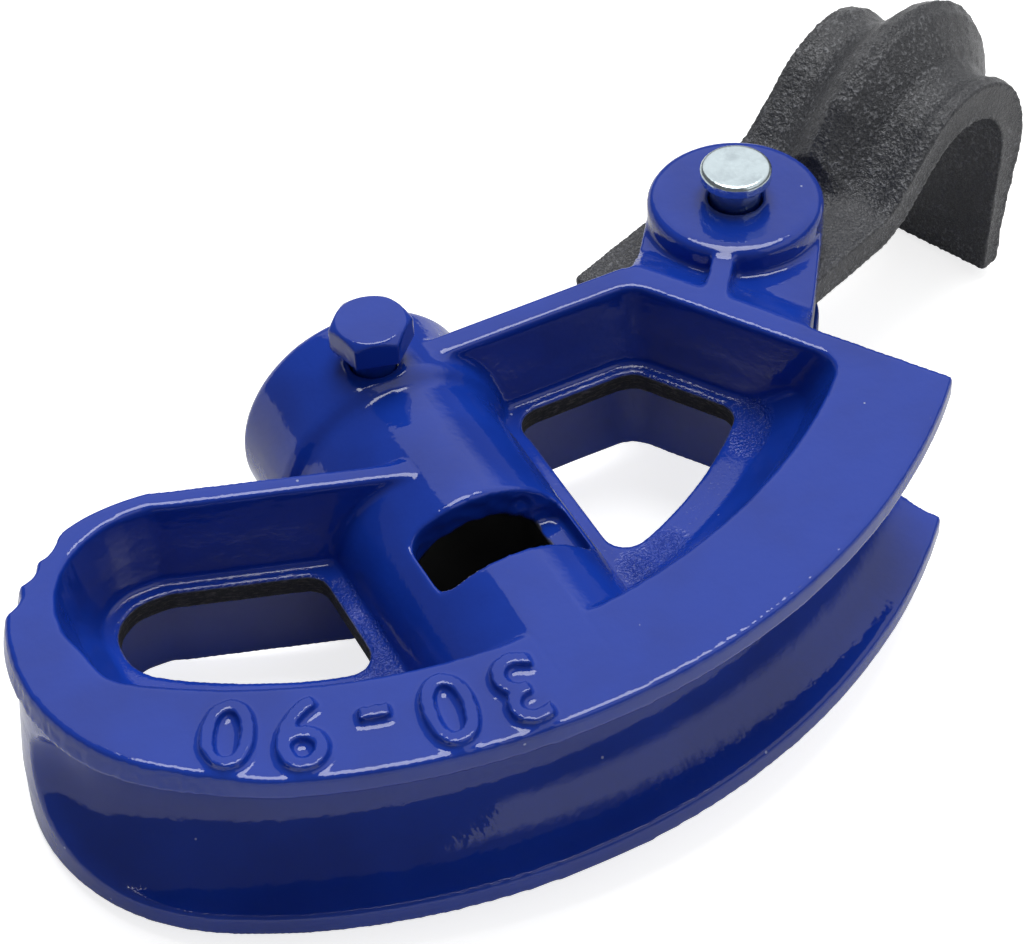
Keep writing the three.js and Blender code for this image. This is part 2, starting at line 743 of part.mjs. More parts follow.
function hookCasting() {
  const path = hookPath();
  const acrossShares = [-1, -0.88, -0.74, -0.6, -0.45, -0.3, -0.15, 0, 0.15, 0.3, 0.45, 0.6, 0.74, 0.88, 1];
  const sections = acrossShares.map((share) => {
    const y = (share * hookWidth) / 2;
    const under = path.map((at) => new THREE.Vector3(at.x, y, at.z));
    const over = path.map((at) => {
      const bead = at.bead * rimBead * rimShare(share);
      const flank = at.flank * farFlankRise * flankShare(share);
      const wall = at.wall + at.rise * ridgeShare(share) + bead + flank;
      return new THREE.Vector3(at.x + at.outX * wall, y, at.z + at.outZ * wall);
    });
    return [...under, ...over.reverse()];
  });
  const strip = loft(sections);

  // Plan of the strip: square across its tail, and inside every line that the shoe's end face takes
  // as the hook swings, so the far corner is cut off along the face and the near side is round
  const endFaceDistance = Math.abs(pivot.clone().sub(apex).dot(endFaceInward));
  const swingRadius = endFaceDistance - tailSwingClearance;
  const origin = new THREE.Vector2();
  const wallAngle = endFaceInward.angle() - radians(hookAngle);
  const touch = new THREE.Vector2(swingRadius, 0).rotateAround(origin, wallAngle);
  const wallAlong = touch.clone().rotateAround(origin, -Math.PI / 2).normalize();
  const outer = saddleReach + ridgeRadius + ridgeShift + overrun;
  const swingPlan = [
    ...arc(origin, swingRadius, angleOf(origin, touch), 0),
    new THREE.Vector2(outer, -swingRadius),
    new THREE.Vector2(outer, outer),
    touch.clone().addScaledVector(wallAlong, outer),
  ];
  const tailPlan = [
    new THREE.Vector2(-tailLength, -outer),
    new THREE.Vector2(outer, -outer),
    new THREE.Vector2(outer, outer),
    new THREE.Vector2(-tailLength, outer),
  ];
  const floor = -legDrop - overrun;
  const ceiling = midHeight + 2 * saddleReach;
  const plan = prism(swingPlan, floor, ceiling).intersect(prism(tailPlan, floor, ceiling));
  const gapBottom = midHeight - earGap / 2 + runningGap;
  const hub = upright(origin, hubRadius, gapBottom, armTop);
  const hole = upright(origin, pinRadius + hookHoleClearance, gapBottom - overrun, armTop + overrun, smallSides);
  return cut(joined(strip.intersect(plan), hub), hole);
}

// Pin through both ears and the hook. It stands proud, because it can drop until its head lands on the boss.
const pinHeadUnder = shoeHeight + bossRise + pinRise;
const splitPinHeight = -bossRise - runningGap - splitPinRadius;

function hingePin() {
  const headTop = pinHeadUnder + pinHeadThickness;
  const bottom = splitPinHeight - splitPinRadius - runningGap - pinTailLength;
  const body = turned([
    [0, bottom],
    [pinRadius - pinEdge, bottom],
    [pinRadius, bottom + pinEdge],
    [pinRadius, pinHeadUnder],
    [pinHeadRadius - pinEdge / 2, pinHeadUnder],
    [pinHeadRadius, pinHeadUnder + pinEdge / 2],
    [pinHeadRadius, headTop - pinEdge],
    [pinHeadRadius - pinEdge, headTop],
    [0, headTop],
  ], smallSides + smallSides / 2);
  const hole = new THREE.CylinderGeometry(
    splitPinRadius + runningGap,
    splitPinRadius + runningGap,
    2 * (pinRadius + overrun),
    smallSides / 2,
  );
  hole.translate(0, 0, splitPinHeight);
  return cut(body, solidOf(hole));
}

function rod(radius, points) {
  // Round wire along straight runs between points
  const section = new THREE.Shape();
  section.absarc(0, 0, radius, 0, 2 * Math.PI, false);
  const path = new THREE.CurvePath();
  points.slice(1).forEach((point, i) => path.add(new THREE.LineCurve3(points[i], point)));
  return solidOf(new THREE.ExtrudeGeometry(section, {
    extrudePath: path,
    steps: points.length - 1,
    curveSegments: smallSides / 4,
    bevelEnabled: false,
  }));
}

function splitPin() {
  // Eye, straight shank through the pin, and two prongs spread round it
  const shank = new THREE.CylinderGeometry(splitPinRadius, splitPinRadius, 2 * splitPinReach, smallSides / 2);
  const eye = new THREE.TorusGeometry(splitPinEyeRadius, splitPinRadius, smallSides / 3, smallSides);
  eye.translate(0, -splitPinReach - splitPinEyeRadius, 0);
  const prongs = [-1, 1].map((side) => {
    const start = new THREE.Vector3(0, splitPinReach - splitPinRadius, 0);
    const spread = radians(side * splitPinSpread);
    const end = start.clone().add(
      new THREE.Vector3(Math.sin(spread), Math.cos(spread), 0).multiplyScalar(splitPinProngLength),
    );
    return rod(splitPinRadius * 0.8, [start, end]);
  });
  return joined(solidOf(shank), solidOf(eye), ...prongs).translate([0, 0, splitPinHeight]);
}

function clampScrew() {
  // Hexagon head with a turned chamfer on top, plain shank down through the collar
  const collarTop = midHeight + collarRadius;
  const headLow = collarTop + screwStand;
  const headHigh = headLow + screwHeadHeight;
  const headRadius = screwHeadFlats / 2 / Math.cos(Math.PI / 6);
  const chamferRadius = (screwHeadFlats / 2) * screwHeadChamferShare;
  const hexagon = turned([[0, headLow], [headRadius, headLow], [headRadius, headHigh], [0, headHigh]], 6);
  const dome = turned([
    [0, headLow - overrun],
    [headRadius + overrun, headLow - overrun],
    [headRadius + overrun, headHigh - screwHeadEdge - overrun],
    [chamferRadius, headHigh],
    [0, headHigh],
  ], roundSides);
  const tip = midHeight + boreRadius - screwBite;
  const shank = turned([
    [0, tip],
    [screwRadius - pinEdge, tip],
    [screwRadius, tip + pinEdge],
    [screwRadius, headLow + overrun],
    [0, headLow + overrun],
  ], smallSides);
  return joined(hexagon.intersect(dome), shank).rotate([0, 0, screwTurn]);
}

// Finishes
const blueEnamel = { color: 0x24349a, roughness: 0.22, metalness: 0 };
const blackIron = { color: 0x37393d, roughness: 0.8, metalness: 0.3 };
const brightZinc = { color: 0xcdd8dc, roughness: 0.3, metalness: 1 };

function piece(name, solid, finish) {
  const mesh = new THREE.Mesh(geometryOf(solid), new THREE.MeshStandardMaterial(finish));
  mesh.name = name;
  return mesh;
}

const bender = new THREE.Group();
bender.add(piece('bending_shoe', shoeCasting(), blueEnamel));

const hookSwing = new THREE.Group();
hookSwing.position.set(pivot.x, pivot.y, 0);
hookSwing.rotation.z = radians(hookAngle);
hookSwing.add(piece('pipe_hook', hookCasting(), blackIron));
bender.add(hookSwing);

const pinSeat = new THREE.Group();
pinSeat.position.set(pivot.x, pivot.y, 0);
pinSeat.add(piece('hinge_pin', hingePin(), brightZinc));
pinSeat.add(piece('split_pin', splitPin(), brightZinc));
bender.add(pinSeat);

const clamp = piece('clamp_screw', clampScrew(), blueEnamel);
clamp.position.set(0, screwPlace, 0);
bender.add(clamp);

export default bender;
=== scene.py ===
import math

import bmesh
import bpy
import numpy as np
from mathutils import Matrix, Vector, noise


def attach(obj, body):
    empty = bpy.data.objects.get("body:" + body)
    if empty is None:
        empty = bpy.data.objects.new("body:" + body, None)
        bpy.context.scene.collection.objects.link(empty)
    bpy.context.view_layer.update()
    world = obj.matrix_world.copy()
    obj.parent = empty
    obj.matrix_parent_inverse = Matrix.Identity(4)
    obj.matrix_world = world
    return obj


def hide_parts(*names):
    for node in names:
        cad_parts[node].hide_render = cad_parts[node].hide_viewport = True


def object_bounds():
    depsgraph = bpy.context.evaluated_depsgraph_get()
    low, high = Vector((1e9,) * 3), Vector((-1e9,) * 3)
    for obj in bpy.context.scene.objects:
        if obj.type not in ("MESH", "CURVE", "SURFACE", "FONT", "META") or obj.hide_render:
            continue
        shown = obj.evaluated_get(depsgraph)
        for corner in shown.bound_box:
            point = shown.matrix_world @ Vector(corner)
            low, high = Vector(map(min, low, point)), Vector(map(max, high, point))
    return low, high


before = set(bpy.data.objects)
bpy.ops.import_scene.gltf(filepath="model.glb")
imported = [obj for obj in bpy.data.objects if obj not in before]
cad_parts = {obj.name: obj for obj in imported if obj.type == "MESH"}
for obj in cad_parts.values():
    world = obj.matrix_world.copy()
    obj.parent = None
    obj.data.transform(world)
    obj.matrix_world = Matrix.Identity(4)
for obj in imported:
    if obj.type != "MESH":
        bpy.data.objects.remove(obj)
cad_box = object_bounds()
MM = 0.001

# Camera
# The bender lies on a table and is seen from above its groove side,
# through a long lens that is turned a little about its own axis.
aim_point = Vector((17.34, 60.78, 19.47)) * MM
camera_distance = 554.25 * MM
camera_elevation = math.radians(45.183)
camera_azimuth = math.radians(-25)
camera_roll = -0.052443
lens = 110.71
sensor_width = 36
nearest_view = 10 * MM

heading = Matrix.Rotation(camera_azimuth, 3, "Z")
level_right = heading @ Vector((1, 0, 0))
level_up = heading @ Vector((0, math.sin(camera_elevation), math.cos(camera_elevation)))
towards_camera = heading @ Vector((0, -math.cos(camera_elevation), math.sin(camera_elevation)))
camera_right = math.cos(camera_roll) * level_right + math.sin(camera_roll) * level_up
camera_up = -math.sin(camera_roll) * level_right + math.cos(camera_roll) * level_up
camera_data = bpy.data.cameras.new("camera")
camera_data.lens = lens
camera_data.sensor_width = sensor_width
camera_data.sensor_fit = "HORIZONTAL"
camera_data.clip_start = nearest_view
camera = bpy.data.objects.new("camera", camera_data)
bpy.context.scene.collection.objects.link(camera)
turn = Matrix((camera_right, camera_up, towards_camera)).transposed().to_4x4()
camera.matrix_world = Matrix.Translation(aim_point + towards_camera * camera_distance) @ turn
bpy.context.scene.camera = camera


# Bending shoe
# One sand casting with groove, flanges, web, handle socket and clevis ears, in blue gloss enamel.
# The mould leaves every edge and inner corner round, and its numbers stand up from the band.
shoe_height = 39.0 * MM
shoe_radius = 122.5 * MM
bend_centre = Vector((-1.8, 112.65, 19.5)) * MM
groove_radius = 14.95 * MM
heel_centre = Vector((-43.85, 39.82, 19.5)) * MM
heel_radius = 38.4 * MM
barrel_radius = 20.0 * MM
collar_radius = 21.9 * MM
barrel_end = 68.5 * MM
collar_reach = (73.0 * MM, 88.0 * MM)
pivot = Vector((76.76, 85.82, 19.5)) * MM
boss_radius = 16.1 * MM
web_half = 2.15 * MM
bore_radius = 14.0 * MM
bore_end = 24.0 * MM
barrel_fade = (13 * MM, 32 * MM)
crown_half = 5.5 * MM

grain_size = 0.5 * MM
edge_rounds = 2
rim_rounds = 12
collar_rounds = 30
last_rounds = 1


def copied(node, name):
    """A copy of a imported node's mesh, free to be reshaped."""
    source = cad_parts[node]
    piece = bpy.data.objects.new(name, source.data.copy())
    bpy.context.scene.collection.objects.link(piece)
    piece.data.materials.clear()
    return piece


def applied(piece):
    """Makes the piece's modifiers part of its mesh."""
    bpy.context.view_layer.update()
    graph = bpy.context.evaluated_depsgraph_get()
    mesh = bpy.data.meshes.new_from_object(piece.evaluated_get(graph))
    old = piece.data
    piece.modifiers.clear()
    piece.data = mesh
    bpy.data.meshes.remove(old)
    return piece


def points_of(piece):
    """The mesh's vertices, a row of three for each."""
    points = np.empty(len(piece.data.vertices) * 3)
    piece.data.vertices.foreach_get("co", points)
    return points.reshape(-1, 3)


def normals_of(piece):
    """The way that each vertex faces."""
    normals = np.empty(len(piece.data.vertices) * 3)
    piece.data.vertex_normals.foreach_get("vector", normals)
    return normals.reshape(-1, 3)


def move_points(piece, points):
    """Puts the mesh's vertices at new places."""
    piece.data.vertices.foreach_set("co", points.ravel())
    piece.data.update()


def boxed(piece):
    """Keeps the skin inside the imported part's box."""
    move_points(piece, np.clip(points_of(piece), np.array(cad_box[0]), np.array(cad_box[1])))


def recast(piece, size):
    """Gives the piece a fine even skin, the first step of its cast surface."""
    skin = piece.modifiers.new("skin", "REMESH")
    skin.mode = "VOXEL"
    skin.voxel_size = size
    skin.use_smooth_shade = True
    return applied(piece)


smooth_factor = 0.5
share_levels = 4


def softened(piece, rounds, shares=None):
    """Rounds the edges and fills the inner corners a little, as a mould does."""
    smooth = piece.modifiers.new("soft", "SMOOTH")
    smooth.factor = smooth_factor
    smooth.iterations = rounds
    if shares is not None:
        group = piece.vertex_groups.new(name="soft_share")
        for level in range(1, share_levels + 1):
            chosen = np.nonzero(np.round(shares * share_levels) == level)[0]
            group.add(chosen.tolist(), level / share_levels, "REPLACE")
        smooth.vertex_group = group.name
    applied(piece)
    piece.vertex_groups.clear()
    return piece


def blurred_step(values, low, high):
    """0 below the low value and 1 above the high one, with a smooth rise between."""
    share = np.clip((values - low) / (high - low), 0, 1)
    return share * share * (3 - 2 * share)


def blurred_window(values, low, high, blur):
    """1 between the low and high values, fading to 0 over the blur outside them."""
    return blurred_step(values, low - blur, low) * (1 - blurred_step(values, high, high + blur))


near_core_share = 0.4


def near(distance, reach):
    """1 on a true surface, and 0 from the given reach on."""
    return 1 - blurred_step(np.abs(distance), near_core_share * reach, reach)


wave_seed_steps = (7.3, 3.1, 5.7)


def wave_heights(points, length, seed):
    """Smooth random heights from -1 to 1, one for each point."""
    shift = Vector([seed * step for step in wave_seed_steps])
    return np.array([noise.noise(Vector(point) / length + shift) for point in points])


def store_share(piece, name, shares):
    """Keeps a share for each vertex, which a material can read by its name."""
    layer = piece.data.attributes.new(name, "FLOAT", "POINT")
    layer.data.foreach_set("value", shares.astype(np.float32))


number_text = "30-90"
number_height = 20.4 * MM
number_width_share = 0.9
number_radius = 106.9 * MM
number_start_degrees = -5.1
number_pitch_degrees = 5.85
number_relief = 1.5 * MM
number_bold = 0.3 * MM
number_levels = (shoe_height - 1.2 * MM, shoe_height - 0.3 * MM)
number_ring = (number_radius - MM, shoe_radius - 1.5 * MM)
number_span = (-66 * MM, -2 * MM)
number_ring_blur = 1 * MM
number_span_blur = 2 * MM


def cast_number(character, degrees):
    """One raised character on the band, with its foot towards the bend's centre."""
    curve = bpy.data.curves.new("character", "FONT")
    curve.body = character
    curve.size = number_height
    curve.align_x = "CENTER"
    curve.extrude = number_relief
    curve.offset = number_bold
    letter = bpy.data.objects.new("character", curve)
    bpy.context.scene.collection.objects.link(letter)
    angle = math.radians(degrees)
    foot = Vector((
        bend_centre.x + number_radius * math.sin(angle),
        bend_centre.y - number_radius * math.cos(angle),
        shoe_height,
    ))
    letter.matrix_world = (
        Matrix.Translation(foot)
        @ Matrix.Rotation(math.pi + angle, 4, "Z")
        @ Matrix.Diagonal((number_width_share, 1, 1, 1))
    )
    bpy.context.view_layer.update()
    graph = bpy.context.evaluated_depsgraph_get()
    mesh = bpy.data.meshes.new_from_object(letter.evaluated_get(graph))
    mesh.transform(letter.matrix_world)
    bpy.data.objects.remove(letter)
    bpy.data.curves.remove(curve)
    return mesh


round_agreement = (0.93, 0.985)
flat_agreement = (0.99, 0.998)
skin_reach = 0.2 * MM
round_blur = 1 * MM


def agreeing(normals, directions):
    """1 where the skin already faces the way of the true surface."""
    return blurred_step(np.abs(np.sum(normals * directions, axis=1)), *round_agreement)


def true_surfaces(piece):
    """Draws the skin onto the round and flat surfaces that the facets stand for."""
    points = points_of(piece)
    normals = normals_of(piece)
    # Groove
    ring = points - np.array(bend_centre)
    out = np.maximum(np.hypot(ring[:, 0], ring[:, 1]), skin_reach)
    from_tube = ring.copy()
    from_tube[:, :2] -= ring[:, :2] * (shoe_radius / out)[:, None]
    shapes = [(from_tube, groove_radius, np.ones(len(points)))]
    # Rims, heel and boss stand upright
    upright = np.array((1, 1, 0))
    heel = (points - np.array(heel_centre)) * upright
    heel_side = ((heel[:, 0] < 0) | (heel[:, 1] < 0)) * 1.0
    shapes.append((ring * upright, shoe_radius, np.ones(len(points))))
    shapes.append((heel, heel_radius, heel_side))
    shapes.append(((points - np.array(pivot)) * upright, boss_radius, np.ones(len(points))))
    # Barrel and collar lie along the socket
    around = (points - np.array((0, 0, bend_centre.z))) * np.array((1, 0, 1))
    for radius, low, high in ((barrel_radius, 0, barrel_end), (collar_radius, *collar_reach)):
        shapes.append((around, radius, blurred_window(points[:, 1], low, high, round_blur)))
    moved = np.zeros_like(points)
    for away, radius, where in shapes:
        length = np.maximum(np.linalg.norm(away, axis=1), skin_reach)
        direction = away / length[:, None]
        share = near(length - radius, skin_reach) * where * agreeing(normals, direction)
        moved += direction * (share * (radius - length))[:, None]
    # Flat faces
    lies_flat = blurred_step(np.abs(normals[:, 2]), *flat_agreement)
    for level in (0, shoe_height, bend_centre.z + web_half, bend_centre.z - web_half):
        moved[:, 2] += near(points[:, 2] - level, skin_reach) * lies_flat * (level - points[:, 2])
    points += moved
    # The barrel's crown runs out into the band without a step
    crown = np.maximum(points[:, 2] - shoe_height, 0) * (np.abs(points[:, 0]) < crown_half)
    points[:, 2] -= crown * (1 - blurred_step(points[:, 1], *barrel_fade))
    move_points(piece, points)


step_along = (barrel_end - 2 * MM, collar_reach[0] + 2 * MM)
step_ring = (barrel_radius - MM, collar_radius + MM)
step_along_blur = 2 * MM
step_ring_blur = 1 * MM


def from_socket_axis(points):
    """How far each point lies from the axis of the barrel and its bore."""
    return np.hypot(points[:, 0], points[:, 2] - bend_centre.z)


def bending_shoe():
    """The shoe with its raised numbers, its edges rounded as by the mould."""
    shoe = copied("bending_shoe", "shoe_casting")
    merged = bmesh.new()
    merged.from_mesh(shoe.data)
    for place, character in enumerate(number_text):
        merged.from_mesh(cast_number(character, number_start_degrees - place * number_pitch_degrees))
    merged.to_mesh(shoe.data)
    merged.free()
    recast(shoe, grain_size)
    softened(shoe, edge_rounds)
    points = points_of(shoe)
    around = points[:, :2] - np.array(bend_centre[:2])
    out = np.hypot(around[:, 0], around[:, 1])
    numbered = blurred_step(points[:, 2], *number_levels)
    numbered *= blurred_window(out, *number_ring, number_ring_blur)
    numbered *= blurred_window(points[:, 0], *number_span, number_span_blur)
    softened(shoe, rim_rounds, 1 - numbered)
    points = points_of(shoe)
    at_step = blurred_window(points[:, 1], *step_along, step_along_blur)
    at_step *= blurred_window(from_socket_axis(points), *step_ring, step_ring_blur)
    softened(shoe, collar_rounds, at_step)
    true_surfaces(shoe)
    softened(shoe, last_rounds)
    return shoe


draft_behind = (8 * MM, 24 * MM)
draft_out = (30 * MM, 36 * MM)
heel_levels = np.array((0.0, 9.0, 24.0, 33.3, 34.8, 39.0)) * MM
heel_insets = np.array((0.3, 0.5, 2.0, 2.3, 1.2, 2.2)) * MM
lip_low = 34.0 * MM
lip_high = 38.0 * MM
lip_blur = 0.8 * MM
lip_front = (-6 * MM, 2 * MM)
lip_ripple_length = 1.8 * MM
lip_ripple_height = 0.35 * MM
swells = (
    (Vector((-71.0, 38.0)) * MM, 9 * MM, Vector((1.4, 0.0)) * MM),
    (Vector((-52.0, 69.0)) * MM, 10 * MM, Vector((0.0, 0.6)) * MM),
)
wave_length = 13 * MM
wave_height = 0.07 * MM
ripple_length = 4.5 * MM
ripple_height = 0.025 * MM
flat_reach = 0.1 * MM
flat_calm_share = 0.8
grain_level = 21.6
# x, y and size in millimetres
grain_places = (
    (57.5, 45.5, 6),
    (62.0, 50.0, 7),
    (25.5, 27.5, 6),
    (31.5, 29.5, 6),
    (-23.5, 29.0, 6),
    (-22.3, 36.0, 7),
    (-21.5, 46.0, 6),
)
grain_squash = (1, 1, 2.5)
grain_core_share = 0.3
web_grain_reach = 1.2 * MM
web_grain_share = 0.06
windows = (
    (Vector((40, 52)) * MM, 27 * MM),
    (Vector((-42, 47)) * MM, 23.5 * MM),
)
slot_centre = Vector((2.0, 33.5, 34.5)) * MM
slot_half = Vector((15.5, 8.5, 5.0)) * MM
slot_fade_shares = (0.9, 1.05)
slot_wall_depths = (1.0 * MM, 2.5 * MM)
lump_length = 2.6 * MM
lump_height = 0.55 * MM
ragged_length = 2.2 * MM
ragged_height = 0.5 * MM
cut_slopes = (0.55, 0.8)
cut_levels = (web_half - 0.3 * MM, web_half + 0.1 * MM)
bore_walls = (bore_radius + 0.5 * MM, bore_radius + 0.9 * MM)
bore_starts = (bore_end - 3 * MM, bore_end - 1 * MM)


def drafted_heel(shoe):
    """Leans the heel's wall in, with a rippled lip, and lets its outline swell a little."""
    points = points_of(shoe)
    heel = points[:, :2] - np.array(heel_centre[:2])
    out = np.maximum(np.hypot(heel[:, 0], heel[:, 1]), MM)
    side = blurred_step(-heel[:, 0], *draft_behind) * blurred_step(out, *draft_out)
    inward = side * np.interp(points[:, 2], heel_levels, heel_insets)
    on_lip = side * blurred_window(points[:, 2], lip_low, lip_high, lip_blur)
    on_lip *= blurred_step(-heel[:, 1], *lip_front)
    inward += on_lip * np.abs(wave_heights(points, lip_ripple_length, seed=7)) * lip_ripple_height
    points[:, :2] -= heel * (inward / out)[:, None]
    for place, reach, shift in swells:
        away = np.linalg.norm(points[:, :2] - np.array(place), axis=1)
        share = np.maximum(1 - (away / reach) ** 2, 0) ** 2
        points[:, :2] += share[:, None] * np.array(shift)
    move_points(shoe, points)
    return points


def waved_skin(shoe, points):
    """Lays the mould's soft waves over the casting, and lumps on the slot's cored walls."""
    waves = wave_heights(points, wave_length, seed=1) * wave_height
    waves += wave_heights(points, ripple_length, seed=2) * ripple_height
    waves *= 1 - flat_calm_share * near(points[:, 2] - shoe_height, flat_reach)
    beside_slot = np.abs(points - np.array(slot_centre)) / np.array(slot_half)
    in_slot = 1 - blurred_step(np.max(beside_slot, axis=1), *slot_fade_shares)
    in_slot *= blurred_step(barrel_radius - from_socket_axis(points), *slot_wall_depths)
    waves += in_slot * wave_heights(points, lump_length, seed=6) * lump_height
    points = points + normals_of(shoe) * waves[:, None]
    move_points(shoe, points)
    return points


def raw_walls_and_bore_shade(shoe, points):
    """Stores where the casting is bare or coarse, and where its bore takes painted shade, for the enamel
    to read.
    """
    normals = normals_of(shoe)
    inside = np.zeros(len(points), bool)
    for place, reach in windows:
        towards = np.array(place) - points[:, :2]
        faces_window = np.sum(normals[:, :2] * towards, axis=1) > 0
        inside |= faces_window & (np.linalg.norm(towards, axis=1) < reach)
    ragged = wave_heights(points, ragged_length, seed=3) * ragged_height
    # The windows are cut through the web: bare of gloss, rough and dark
    upright = 1 - blurred_step(np.abs(normals[:, 2]), *cut_slopes)
    level = np.abs(points[:, 2] - bend_centre.z)
    store_share(shoe, "cut_wall", upright * inside * (1 - blurred_step(level + ragged, *cut_levels)))
    # The socket's bore is kept rough, and painted near black as a painted shade for its deep dark inside
    bore = 1 - blurred_step(from_socket_axis(points) + ragged, *bore_walls)
    store_share(shoe, "bore_wall", bore * blurred_step(points[:, 1], *bore_starts))
    # Patches of the pockets' floors show the mould's coarse sand
    web_top = near(points[:, 2] - bend_centre.z - web_half, web_grain_reach)
    grain = web_grain_share * web_top
    for x, y, size in grain_places:
        place = Vector((x, y, grain_level)) * MM
        gap = np.linalg.norm((points - np.array(place)) * grain_squash, axis=1)
        grain = np.maximum(grain, 1 - blurred_step(gap, grain_core_share * size * MM, size * MM))
    store_share(shoe, "coarse_grain", grain)


shoe = bending_shoe()
cast_points = waved_skin(shoe, drafted_heel(shoe))
raw_walls_and_bore_shade(shoe, cast_points)
boxed(shoe)


def finish(name, base, roughness, metallic=0.0):
    """A new finish: its shader's own sockets hold what is the same all over."""
    material = bpy.data.materials.new(name)
    material.use_nodes = True
    shader = material.node_tree.nodes["Principled BSDF"]
    shader.inputs["Base Color"].default_value = (*base, 1)
    shader.inputs["Roughness"].default_value = roughness
    shader.inputs["Metallic"].default_value = metallic
    return material, shader


def add(tree, kind, inputs=None, **settings):
    """Adds a node, with its settings, values and links."""
    made = tree.nodes.new("ShaderNode" + kind)
    for name, value in settings.items():
        setattr(made, name, value)
    for name, value in (inputs or {}).items():
        socket = made.inputs[name]
        if isinstance(value, bpy.types.NodeSocket):
            tree.links.new(value, socket)
        else:
            socket.default_value = value
    return made


def sums(tree, operation, first, second, third=0.0):
    """A sum, product or other figure worked out from two or three values."""
    return add(tree, "Math", {0: first, 1: second, 2: third}, operation=operation).outputs[0]


def remap(tree, value, low, high, to_low=0.0, to_high=1.0):
    """Turns one range of values smoothly into another."""
    inputs = {"Value": value, "From Min": low, "From Max": high, "To Min": to_low, "To Max": to_high}
    return add(tree, "MapRange", inputs, interpolation_type="SMOOTHSTEP").outputs["Result"]


def blend(tree, share, first, second):
    """The first colour where the share is 0, and the second where it is 1."""
    mixed = add(tree, "Mix", {0: share}, data_type="RGBA")
    for socket, value in ((mixed.inputs[6], first), (mixed.inputs[7], second)):
        if isinstance(value, bpy.types.NodeSocket):
            tree.links.new(value, socket)
        else:
            socket.default_value = (*value, 1)
    return mixed.outputs[2]


def joined(tree, shader, colour, rough, height):
    """Links a finish's colour, roughness and relief to its shader."""
    bump = add(tree, "Bump", {"Height": height, "Distance": 1.0, "Strength": 1.0})
    tree.links.new(bump.outputs[0], shader.inputs["Normal"])
    tree.links.new(colour, shader.inputs["Base Color"])
    tree.links.new(rough, shader.inputs["Roughness"])


def speckle(tree, place, scale, detail=2.0, roughness=0.5):
    """Soft random values between 0 and 1."""
    inputs = {"Vector": place, "Scale": scale, "Detail": detail, "Roughness": roughness}
    return add(tree, "TexNoise", inputs).outputs["Fac"]


enamel_blue = (0.008, 0.042, 0.36)
enamel_deep = (0.007, 0.033, 0.29)
enamel_pale = (0.30, 0.34, 0.60)
bare_dark = (0.009, 0.010, 0.013)
bare_pale = (0.11, 0.10, 0.088)
# Painted shade: near black standing in for the shade deep inside the socket's bore
bore_painted_shade = (0.004, 0.004, 0.005)
enamel_gloss = 0.05
enamel_dullest = 0.1
gloss_clouds = (0.3, 0.8)
cloud_scale = 45
colour_clouds = (0.35, 0.7)
dust_scale = 260.0
dust_rarity = 0.93
dust_sizes = (0.05, 0.08)
dust_height = 0.08 * MM
peel_scale = 330
peel_height = 0.07 * MM
fine_peel_scale = 1000
fine_peel_height = 0.022 * MM
grain_scale = 1700
grain_roughness = 0.6
grain_steps = (0.42, 0.64)
grain_height = 0.18 * MM
torn_scale = 650
torn_roughness = 0.75
torn_stretch = (1, 1, 4)
torn_steps = (0.48, 0.66)
torn_height = 0.9 * MM
raw_roughness = 0.7


def raw_casting_and_bore_shade(tree, place, colour, rough, height):
    """The casting's coarse and cut places, and the painted shade that blackens its cored bore, as its
    stored shares say.
    """
    grain = add(tree, "Attribute", attribute_name="coarse_grain").outputs["Fac"]
    sand = speckle(tree, place, grain_scale, detail=2, roughness=grain_roughness)
    coarse = remap(tree, sand, *grain_steps)
    bumps = sums(tree, "MULTIPLY", coarse, grain)
    height = sums(tree, "MULTIPLY_ADD", bumps, grain_height, height)
    cut = add(tree, "Attribute", attribute_name="cut_wall").outputs["Fac"]
    layered = add(tree, "Mapping", {"Vector": place, "Scale": torn_stretch}).outputs[0]
    torn = speckle(tree, layered, torn_scale, detail=5, roughness=torn_roughness)
    torn_relief = sums(tree, "MULTIPLY", torn, cut)
    height = sums(tree, "MULTIPLY_ADD", torn_relief, torn_height, height)
    bare = blend(tree, remap(tree, torn, *torn_steps), bare_dark, bare_pale)
    colour = blend(tree, cut, colour, bare)
    # Painted shade: the bore is coloured near black for the shade deep inside it
    bore = add(tree, "Attribute", attribute_name="bore_wall").outputs["Fac"]
    colour = blend(tree, bore, colour, bore_painted_shade)
    for share in (cut, bore):
        rough = sums(tree, "MAXIMUM", rough, sums(tree, "MULTIPLY", share, raw_roughness))
    return colour, rough, height


